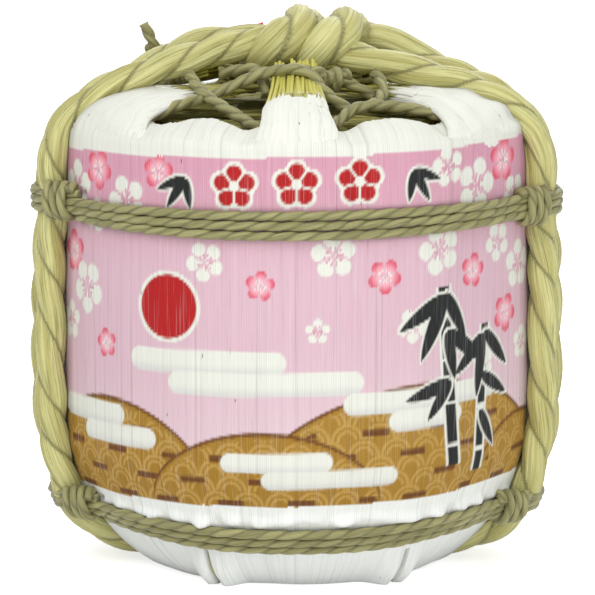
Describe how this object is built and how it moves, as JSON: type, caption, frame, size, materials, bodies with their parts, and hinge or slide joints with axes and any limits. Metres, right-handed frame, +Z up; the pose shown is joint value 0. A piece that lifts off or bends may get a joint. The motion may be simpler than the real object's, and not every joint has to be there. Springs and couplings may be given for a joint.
{
  "type": "wooden sake barrel",
  "caption": "Cedar cask wrapped in a painted straw mat, bound with thick straw rope, belt ropes and a top knot.",
  "frame": {"origin": "middle of the base on the floor, at the centre of the bounding box's lowest face", "axes": "+Z up through the top knot, -Y towards the printed front, +X to the viewer's right"},
  "size_m": [0.224, 0.2056, 0.2271],
  "materials": {
    "painted_straw": "matte",
    "rope_straw": "satin",
    "cord_straw": "matte",
    "plain_straw": "matte",
    "cedar": "satin",
    "bamboo": "satin",
    "red_paper": "matte"
  },
  "bodies": {
    "root": {"straw_mat": "painted_straw", "thick_rope": "rope_straw", "upper_belt_rope": "cord_straw", "lower_belt_rope": "cord_straw", "upper_left_lashing": "cord_straw", "upper_right_lashing": "cord_straw", "lower_left_lashing": "cord_straw", "lower_right_lashing": "cord_straw", "lacing_rope_outer": "cord_straw", "lacing_rope_inner": "cord_straw", "tail_rope": "cord_straw", "tail_knot": "cord_straw", "straw_packing": "plain_straw", "straw_base_pad": "plain_straw", "straw_top_pad": "plain_straw", "stave_01": "cedar", "stave_02": "cedar", "stave_03": "cedar", "stave_04": "cedar", "stave_05": "cedar", "stave_06": "cedar", "stave_07": "cedar", "stave_08": "cedar", "stave_09": "cedar", "stave_10": "cedar", "stave_11": "cedar", "stave_12": "cedar", "stave_13": "cedar", "stave_14": "cedar", "stave_15": "cedar", "stave_16": "cedar", "bottom_board_1": "cedar", "head_board_1": "cedar", "bottom_board_2": "cedar", "head_board_2": "cedar", "bottom_board_3": "cedar", "head_board_3": "cedar", "head_bung": "cedar", "bamboo_hoop_1": "bamboo", "bamboo_hoop_2": "bamboo", "bamboo_hoop_3": "bamboo", "bamboo_hoop_4": "bamboo", "paper_tag": "red_paper"}
  },
  "joints": []
}
